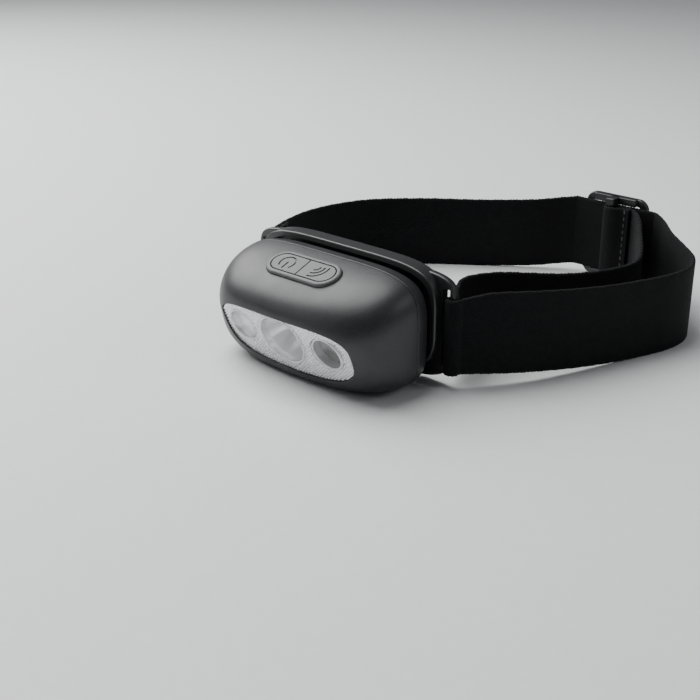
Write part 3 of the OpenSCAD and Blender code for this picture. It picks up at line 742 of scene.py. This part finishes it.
key_l, key_w = PAD_L - 2 * KEY_MARGIN - 2 * KEY_GAP, PAD_W - 2 * KEY_MARGIN - 2 * KEY_GAP
power_mark = [arc(POWER_X, -0.1, 2.6, -46, 226, 32), [(POWER_X, 0.4), (POWER_X, -2.9)]]
wave_mark = [arc(WAVE_X, 1.7, r, -92, 12, 16) for r in (1.5, 2.95, 4.4)]
for name, side, marks, node, body in (
        ("power_cap", -1, power_mark, "power_key", "power_button"),
        ("sensor_cap", 1, wave_mark, "sensor_key", "sensor_button")):
    half = [p for p in stadium(key_l, key_w) if p[0] * side > 0]
    middle = side * KEY_GAP / 2
    if side > 0:
        flat = half + [(middle, key_w / 2), (middle, -key_w / 2)]
    else:
        flat = half + [(middle, -key_w / 2), (middle, key_w / 2)]
    key = prism(name, flat, -KEY_H, 0)
    rounded(key, 0.2, 3, 50)
    for mark in marks:
        carve(key, groove(mark))
    placed(key, ON_PAD)
    smooth(key, 30)
    finish_piece(key, body, rubber, "pad_rubber", node)


# ---- Charging port flap ----
# A rubber flap with a plug that fills the port's mouth, held by its own thin lower end.
flap = prism("port_flap_cover", stadium(FLAP_L, FLAP_W), 0, FLAP_T)
rounded(flap, 0.25, 3, 50)
carve(flap, prism("plug", stadium(PORT_W - 0.2, PORT_T - 0.4), FLAP_T - 0.2, FLAP_T + 0.7),
      "UNION")
carve(flap, prism("nail_slot", [(-5.3, -1.1), (-4.6, -1.1), (-4.6, 1.1), (-5.3, 1.1)], -1, 0.3))
placed(flap, SIDEWAYS)
smooth(flap, 40)
flap_rubber, tree, shader, coord = new_material("black_rubber", (0.03, 0.031, 0.032), 0.65)
dust = grain(tree, coord.outputs["Object"], 0.0003, 3)
spread(tree, dust, (0.024, 0.025, 0.026), (0.04, 0.041, 0.043), shader.inputs["Base Color"])
relief(tree, shader, dust, 0.00002, 0.7)
finish_piece(flap, "port_flap", flap_rubber, "seal_rubber", "usb_flap")


# ---- Bracket ----
# The plate that the lamp tilts on: a shallow black nylon tray with an ear and a strap bar at
# each end and two hinge knuckles at its foot.
PLATE_Y, PLATE_T, FRAME_Y, FRAME_W, FRAME_T = 15.4, 2.4, 12.2, 35.2, 1.8
FRAME_MID, BRACKET_H, BAR_OUT, BAR_W = 17.0, 36.1, 39.6, 1.8
SLOT_W, SLOT_Z, SLOT_H = 2.6, 4.1, 26.1
TRAY_FOOT, TRAY_N_UP, TRAY_N_DOWN = 0.8, 5, 2.8
EARS_UP, EARS_FOOT, EARS_N_UP, EARS_N_DOWN = 17.3, 0.4, 8, 4.5
FRAME_L = PLATE_Y + PLATE_T - FRAME_Y
UPRIGHT = Matrix.Rotation(math.pi / 2, 4, "X")  # local x, y, z become x, z, -y


def face_outline(half, up, down, n_up, n_down, lift, count=200):
    """The upright outline of a plate, its centre lifted above the foot of the bracket."""
    def place(angle):
        x, z = outline(angle, half, up, down, n_up, n_down)
        return x, z + lift
    return [place(a) for a in even_angles(count, place)]


def tray(inset):
    return face_outline(FRAME_W - inset, BRACKET_H - FRAME_MID - inset,
                        FRAME_MID - TRAY_FOOT - inset, TRAY_N_UP, TRAY_N_DOWN, FRAME_MID)


def standing(name, flat, y0, y1):
    """An upright plate with the given outline in x and z, between two places along y."""
    return placed(prism(name, flat, -y1, -y0), UPRIGHT)


bracket = standing("bracket_plate", tray(0), FRAME_Y, PLATE_Y + PLATE_T)
rounded(bracket, 0.55, 4, 50)
recess = standing("tray_recess", tray(FRAME_T), FRAME_Y - 2, PLATE_Y)
carve(bracket, recess)
rounded(bracket, 0.2, 2, 60)
ears = standing("ears", face_outline(BAR_OUT, EARS_UP, FRAME_MID - EARS_FOOT, EARS_N_UP,
                                     EARS_N_DOWN, FRAME_MID), PLATE_Y, PLATE_Y + PLATE_T)
rounded(ears, 0.6, 4, 50)
carve(bracket, ears, "UNION")
carve(bracket, block("hinge_room", (-KNUCKLE_OUT - 1, FRAME_Y - 1, -1),
                     (KNUCKLE_OUT + 1, FRAME_Y + FRAME_L + 1, HINGE_Z + KNUCKLE_R + 0.5)))
for side in (-1, 1):
    low, high = sorted((side * (KNUCKLE_MID + KNUCKLE_GAP), side * KNUCKLE_OUT))
    knuckle = rod("knuckle", (low, HINGE_Y, HINGE_Z), "X", KNUCKLE_R, high - low)
    carve(knuckle, block("arm", (low, HINGE_Y, HINGE_Z - 1),
                         (high, PLATE_Y + PLATE_T - 0.3, HINGE_Z + 4.5)), "UNION")
    carve(bracket, knuckle, "UNION")
    x = side * (BAR_OUT - BAR_W - SLOT_W / 2)
    slot = [(x + a, SLOT_Z + SLOT_H / 2 + b) for a, b in
            ((-SLOT_W / 2, -SLOT_H / 2), (SLOT_W / 2, -SLOT_H / 2), (SLOT_W / 2, SLOT_H / 2),
             (-SLOT_W / 2, SLOT_H / 2))]
    carve(bracket, standing("strap_slot", slot, FRAME_Y - 1, PLATE_Y + PLATE_T + 1))
carve(bracket, rod("pin_bore", (-BORE_L / 2, HINGE_Y, HINGE_Z), "X", PIN_R + 0.02,
                   BORE_L, 32))
smooth(bracket, 38)
nylon, tree, shader, coord = new_material("bracket_nylon", (0.012, 0.0125, 0.0135), 0.38,
                                          Specular_IOR_Level=0.7)
fine = grain(tree, coord.outputs["Object"], 0.00035, 2)
spread(tree, fine, (0.009, 0.0095, 0.0105), (0.016, 0.017, 0.018), shader.inputs["Base Color"])
spread(tree, fine, 0.32, 0.45, shader.inputs["Roughness"])
relief(tree, shader, fine, 0.00002, 0.7)
finish_piece(bracket, "headband", nylon, "bracket_plastic", "bracket")

pin = rod("hinge_axle", (-KNUCKLE_OUT - 0.4, HINGE_Y, HINGE_Z), "X", PIN_R,
          2 * KNUCKLE_OUT + 0.8, 40)
rounded(pin, 0.25, 3, 50)
smooth(pin, 40)
finish_piece(pin, "headband", steel, "plated_steel", "hinge_pin")


# ---- Elastic strap ----
# One length of 25 mm black elastic webbing, woven in a fine twill with looped edges. It stands
# on edge, threaded round the two bars of the bracket and through the slider.
WEB_W, WEB_T, WEB_Z = 25.4, 1.3, 4.4
BAR_X, BAR_Y, TURN_R = BAR_OUT - BAR_W / 2, PLATE_Y + 0.7, 1.85
SLIDE_Y, SLIDE_Z, SLIDER_X, END_BAR_Y, END_TURN_R = 129.0, 2.8, 24.0, 125.75, 1.7
LOOP_RUN = [(-45.6, 34.6, 3.4), (-42.6, 27.9, 3.8), (-39.4, 22.6, 4.2), (-37.2, 19.6, 4.4),
            (-36.85, 17.2, 4.4)]
FAR_RUN = [(-40.55, 17.4, 4.4), (-42.3, 22.2, 4.1), (-45.6, 30.2, 3.6), (-50.8, 41.5, 2.4),
           (-55, 55.5, 1.2), (-55, 70, 0.4), (-50, 84, 0), (-36, 98, 0), (-20, 110, 0),
           (-5, 120.6, 0.7), (3, 126.4, 1.8), (8.5, 129, 2.8)]
NEAR_RUN = [(40, 129, 2.8), (45, 125.6, 1.8), (51.8, 118.6, 0.6), (60.6, 110.6, 0.1),
            (68.2, 102.4, 0), (72, 93.4, 0), (71.6, 84, 0), (68.6, 74.5, 0), (63.6, 60, 0.6),
            (57.4, 45, 1.8), (50.3, 31, 3.2), (44, 21.8, 4.1), (40.55, 17.4, 4.4)]
TAIL_RUN = [(32.3, 127.1, 2.8), (36, 123.6, 2.6), (40.5, 117.5, 2), (45, 110, 1.2),
            (53, 96.5, 0.3), (57, 86, 0), (55.5, 76, 0), (51.5, 67, 0), (46, 59, 0.3),
            (40, 52, 1), (34.4, 44, 2), (32, 35, 3), (33, 27, 4), (36.4, 20.2, 4.4)]
END_RUN = [(31.6, 125.85, 2.8), (29, 125.7, 2.8), (26.6, 124.5, 2.8), (25.2, 124.05, 2.8),
           (24, END_BAR_Y - END_TURN_R, 2.8)]
PICOT_STEP, PICOT_OUT, EDGE_H, LOOP_H = 1.15, 0.13, 0.45, 1.2
PINCH, PINCH_REACH, WEAVE_SCALE = 2.3, 8.0, 0.01


def curve(points, steps=14):
    """A smooth curve through given points, without the last one."""
    path = []
    for i in range(len(points) - 1):
        a, b, c, d = (Vector(points[min(max(i + k, 0), len(points) - 1)]) for k in (-1, 0, 1, 2))
        for s in range(steps):
            t = s / steps
            path.append(0.5 * (2 * b + (c - a) * t + (2 * a - 5 * b + 4 * c - d) * t * t
                               + (3 * b - 3 * c + d - a) * t ** 3))
    return path


def turn(x, y, z, radius, start, end, steps=14):
    """Points round an upright bar, its angles in degrees."""
    return [Vector((x + radius * math.cos(a), y + radius * math.sin(a), z))
            for a in (math.radians(start + (end - start) * k / steps) for k in range(steps + 1))]


def even_path(path, step):
    """The same path with points a fixed distance apart, and its length."""
    run = [0.0]
    for a, b in zip(path, path[1:]):
        run.append(run[-1] + (b - a).length)
    count, k, chosen = int(run[-1] / step), 0, []
    for i in range(count + 1):
        goal = run[-1] * i / count
        while k < len(path) - 2 and run[k + 1] < goal:
            k += 1
        share = (goal - run[k]) / max(run[k + 1] - run[k], 1e-9)
        chosen.append(path[k].lerp(path[k + 1], min(share, 1)))
    return chosen, run[-1]


def webbing(name, path, step=0.42):
    """Webbing on edge along a path at its lower edge, with rounded and looped edges."""
    path, length = even_path(path, step)
    heights = [0.0, 0.12, EDGE_H, LOOP_H, 3, 6, 9.5, WEB_W / 2]
    heights += [WEB_W - h for h in reversed(heights[:-1])]
    half_t = WEB_T / 2
    section = [(min(1.0, 0.35 + 1.1 * min(h, WEB_W - h) / EDGE_H) * half_t, h) for h in heights]
    section += [(-t, h) for t, h in reversed(section)]
    points, faces, places = [], [], []
    for i, p in enumerate(path):
        ahead = path[min(i + 1, len(path) - 1)] - path[max(i - 1, 0)]
        side = Vector((-ahead.y, ahead.x, 0)).normalized()
        along = length * i / (len(path) - 1)
        loops = PICOT_OUT * (math.sin(2 * math.pi * along / PICOT_STEP)
                             + 0.7 * math.sin(along * 1.7) * math.sin(along * 0.61))
        off_bar = math.hypot(abs(p.x) - BAR_X, p.y - BAR_Y)
        pinch = 1 - PINCH / WEB_W * math.exp(-(off_bar / PINCH_REACH) ** 2)
        for t, h in section:
            out = loops * max(0, 1 - min(h, WEB_W - h) / LOOP_H)
            rise = h * pinch + (out if h > WEB_W / 2 else -out)
            points.append(p + side * t + Vector((0, 0, rise)))
            places.append((along, h))
    n = len(section)
    for i in range(len(path) - 1):
        a, b = i * n, (i + 1) * n
        faces += [(a + k, a + (k + 1) % n, b + (k + 1) % n, b + k) for k in range(n)]
    faces += [tuple(range(n)), tuple(range((len(path) - 1) * n, len(path) * n))]
    piece = mesh_object(name, points, faces)
    outward(piece)
    layer = piece.data.uv_layers.new(name="weave")
    for loop in piece.data.loops:
        along, h = places[loop.vertex_index]
        layer.data[loop.index].uv = (along * WEAVE_SCALE, h * WEAVE_SCALE)
    smooth(piece, 60)
    return piece, length


def weave_material(name):
    """Black elastic: raised diagonal floats, ribs across, painted shade in the gaps, a soft sheen.
    """
    material, tree, shader, coord = new_material(
        name, (0.006, 0.006, 0.007), 0.8, Sheen_Weight=0.02, Sheen_Roughness=0.5,
        Specular_IOR_Level=0.2)
    uv = tree.nodes.new("ShaderNodeUVMap")
    uv.uv_map = "weave"
    waves = []
    for scale, turn_by in ((46.0, math.radians(32)), (92.0, math.radians(-58))):
        mapping = tree.nodes.new("ShaderNodeMapping")
        mapping.inputs["Rotation"].default_value = (0, 0, turn_by)
        wave = tree.nodes.new("ShaderNodeTexWave")
        wave.inputs["Scale"].default_value = scale
        wave.inputs["Distortion"].default_value = 0.6
        wave.inputs["Detail"].default_value = 1.0
        wave.inputs["Detail Scale"].default_value = 2.0
        tree.links.new(uv.outputs["UV"], mapping.inputs["Vector"])
        tree.links.new(mapping.outputs["Vector"], wave.inputs["Vector"])
        waves.append(wave.outputs["Fac"])
    twill = multiply(tree, *waves)
    fuzz = grain(tree, coord.outputs["Object"], 0.0005, 4)
    # The twill also tints the base colour, lighter on the raised floats and darker in the gaps:
    # painted shade.
    spread(tree, twill, (0.0012, 0.0014, 0.002), (0.008, 0.0092, 0.0115),
           shader.inputs["Base Color"], 0.1, 0.8)
    relief(tree, shader, fuzz, 0.0001, 0.5)
    relief(tree, shader, twill, 0.00022, 0.9)
    return material


elastic = weave_material("black_elastic")
strap_path = (curve(LOOP_RUN) + turn(-BAR_X, BAR_Y, WEB_Z, TURN_R, 0, -180) + curve(FAR_RUN)
              + curve([FAR_RUN[-1], NEAR_RUN[0]]) + curve(NEAR_RUN)
              + turn(BAR_X, BAR_Y, WEB_Z, TURN_R, 0, -180)
              + [Vector((BAR_X - TURN_R, PLATE_Y + PLATE_T, WEB_Z)),
                 Vector((BAR_X - TURN_R, 19.4, WEB_Z))])
band, band_length = webbing("elastic_band", strap_path)
finish_piece(band, "headband", elastic, "webbing", "strap")
tail, tail_length = webbing("elastic_tail", curve(TAIL_RUN) + [Vector(TAIL_RUN[-1])])
finish_piece(tail, None, elastic, "webbing", "strap_tail")
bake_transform(tail)
end_path = (curve(END_RUN) + turn(SLIDER_X, END_BAR_Y, SLIDE_Z, END_TURN_R, 270, 90)[1:]
            + [Vector((28, END_BAR_Y + END_TURN_R, SLIDE_Z)),
               Vector((31.6, END_BAR_Y + END_TURN_R, SLIDE_Z))])
end, end_length = webbing("elastic_end", end_path)
finish_piece(end, "strap_slider", elastic, "webbing", "strap_end")


# ---- Stitching ----
# Two bar tacks in black polyester thread: one closes the loop on the left bar, the other closes
# the sewn end on the slider. Each stitch passes through both layers.
STITCHES, STITCH_STEP, FIRST_STITCH = 10, 2.4, 2.6
STITCH_W, STITCH_H = 0.6, 1.7

thread, tree, shader, coord = new_material("black_thread", (0.03, 0.03, 0.034), 0.55,
                                           Sheen_Weight=0.3, Sheen_Roughness=0.4)
twist = tree.nodes.new("ShaderNodeTexWave")
twist.inputs["Scale"].default_value = 900
tree.links.new(coord.outputs["Object"], twist.inputs["Vector"])
# The twist also tints the colour, lighter on the raised strands and darker in the grooves: painted
# shade.
spread(tree, twist.outputs["Fac"], (0.02, 0.02, 0.023), (0.05, 0.05, 0.055),
       shader.inputs["Base Color"])
relief(tree, shader, twist.outputs["Fac"], 0.00005)


def stitches(name, x, y, z, heading, depth):
    """A row of upright stitches, each a flattened rod through both layers."""
    turn_to = Matrix.Rotation(math.radians(heading), 4, "Z")
    parts = []
    for k in range(STITCHES):
        bpy.ops.object.select_all(action="DESELECT")
        bpy.ops.mesh.primitive_cylinder_add(vertices=10, radius=0.5, depth=1)
        part = bpy.context.active_object
        part.data.transform(Matrix.Rotation(math.pi / 2, 4, "Y"))
        part.data.transform(Matrix.Diagonal((depth * MM, STITCH_W * MM, STITCH_H * MM, 1)))
        rounded(part, 0.2, 2, 50)
        placed(part, Matrix.Translation((x, y, z + FIRST_STITCH + k * STITCH_STEP)) @ turn_to)
        parts.append(part)
    only(parts[0])
    for part in parts:
        part.select_set(True)
    bpy.ops.object.join()
    parts[0].name = name
    smooth(parts[0], 50)
    return parts[0]


loop_tack = stitches("loop_tack", -45.4, 31.9, 3.6, 24, 3.75)
finish_piece(loop_tack, "headband", thread, "thread", "loop_stitches")
end_tack = stitches("end_tack", 30, 126.65, SLIDE_Z, 90, 3.15)
finish_piece(end_tack, "strap_slider", thread, "thread", "end_stitches")


# ---- Strap slider ----
# A one-piece black acetal adjuster: a flat window frame outside the strap, its upper and lower
# sides reaching over the webbing to the round bar that holds the sewn end.
SLIDER_L, SLIDER_BAR, SLIDER_SIDE, SLIDER_T = 24.5, 2.6, 2.8, 2.05
CORNER_R, WINDOW_R, ARM_IN, STEM_HALF, END_BAR_R = 4, 1.2, 4, 1.6, 0.9
outer_y, slider_h = SLIDE_Y + WEB_T / 2 + 0.2, 2 * SLIDE_Z + WEB_W


def rounded_box(w, h, r, steps=10):
    """A flat rectangle with round corners."""
    return [(sx * (w / 2 - r) + r * math.cos(a), sy * (h / 2 - r) + r * math.sin(a))
            for sx, sy, start in ((1, 1, 0), (-1, 1, 90), (-1, -1, 180), (1, -1, 270))
            for a in (math.radians(start + 90 * k / steps) for k in range(steps + 1))]


def slider_face(w, h, r):
    return [(SLIDER_X + x, slider_h / 2 + z) for x, z in rounded_box(w, h, r)]


slider = standing("strap_adjuster", slider_face(SLIDER_L, slider_h, CORNER_R), outer_y,
                  outer_y + SLIDER_T)
rounded(slider, 0.6, 4, 50)
carve(slider, standing("window", slider_face(SLIDER_L - 2 * SLIDER_SIDE, slider_h - 2 * SLIDER_BAR,
                                             WINDOW_R), outer_y - 1, outer_y + 3))
rounded(slider, 0.3, 3, 60)
for z in (0, slider_h - SLIDER_BAR):
    arm = block("arm", (SLIDER_X - SLIDER_L / 2 + ARM_IN, SLIDE_Y - 0.6, z),
                (SLIDER_X + SLIDER_L / 2 - ARM_IN, outer_y + 0.7, z + SLIDER_BAR))
    rounded(arm, 0.35, 3, 50)
    carve(slider, arm, "UNION")
    stem = block("stem", (SLIDER_X - STEM_HALF, END_BAR_Y - END_BAR_R, z),
                 (SLIDER_X + STEM_HALF, SLIDE_Y + 1, z + SLIDER_BAR))
    rounded(stem, 0.35, 3, 50)
    carve(slider, stem, "UNION")
bar = rod("end_bar", (SLIDER_X, END_BAR_Y, 0.3), "Z", END_BAR_R, slider_h - 0.6, 40)
carve(slider, bar, "UNION")
smooth(slider, 40)
finish_piece(slider, "strap_slider", nylon, "bracket_plastic", "slider")
